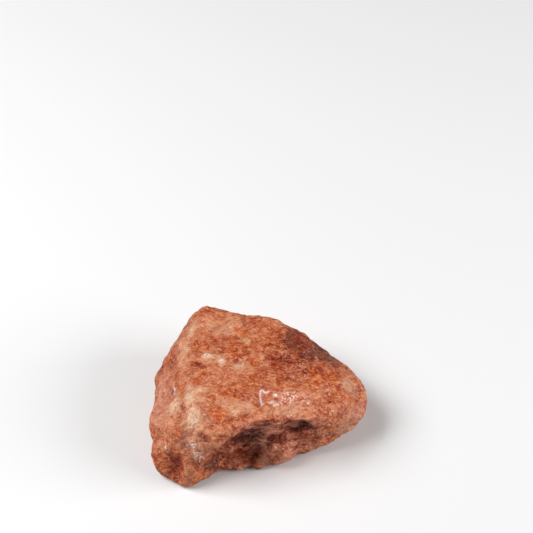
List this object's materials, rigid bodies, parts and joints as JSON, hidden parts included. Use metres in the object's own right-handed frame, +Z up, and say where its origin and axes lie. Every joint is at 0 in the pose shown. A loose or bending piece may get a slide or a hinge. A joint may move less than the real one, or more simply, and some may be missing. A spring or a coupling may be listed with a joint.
{
  "type": "rough sunstone",
  "caption": "Rough broken lump of orange sunstone feldspar, roughly triangular from above, with an undercut front lip and a pointed end, lying on a flat face.",
  "frame": {"origin": "middle of the box around the stone, on the surface that the stone lies on", "axes": "+X along the stone's length towards its pointed end, +Y away from its undercut front, +Z up"},
  "size_m": [0.0448, 0.037, 0.0165],
  "materials": {
    "feldspar": "rough broken orange feldspar with cream and rust flecks, faintly see-through edges and small glossy cleavage flats"
  },
  "bodies": {
    "root": {"stone": "feldspar"}
  },
  "joints": []
}
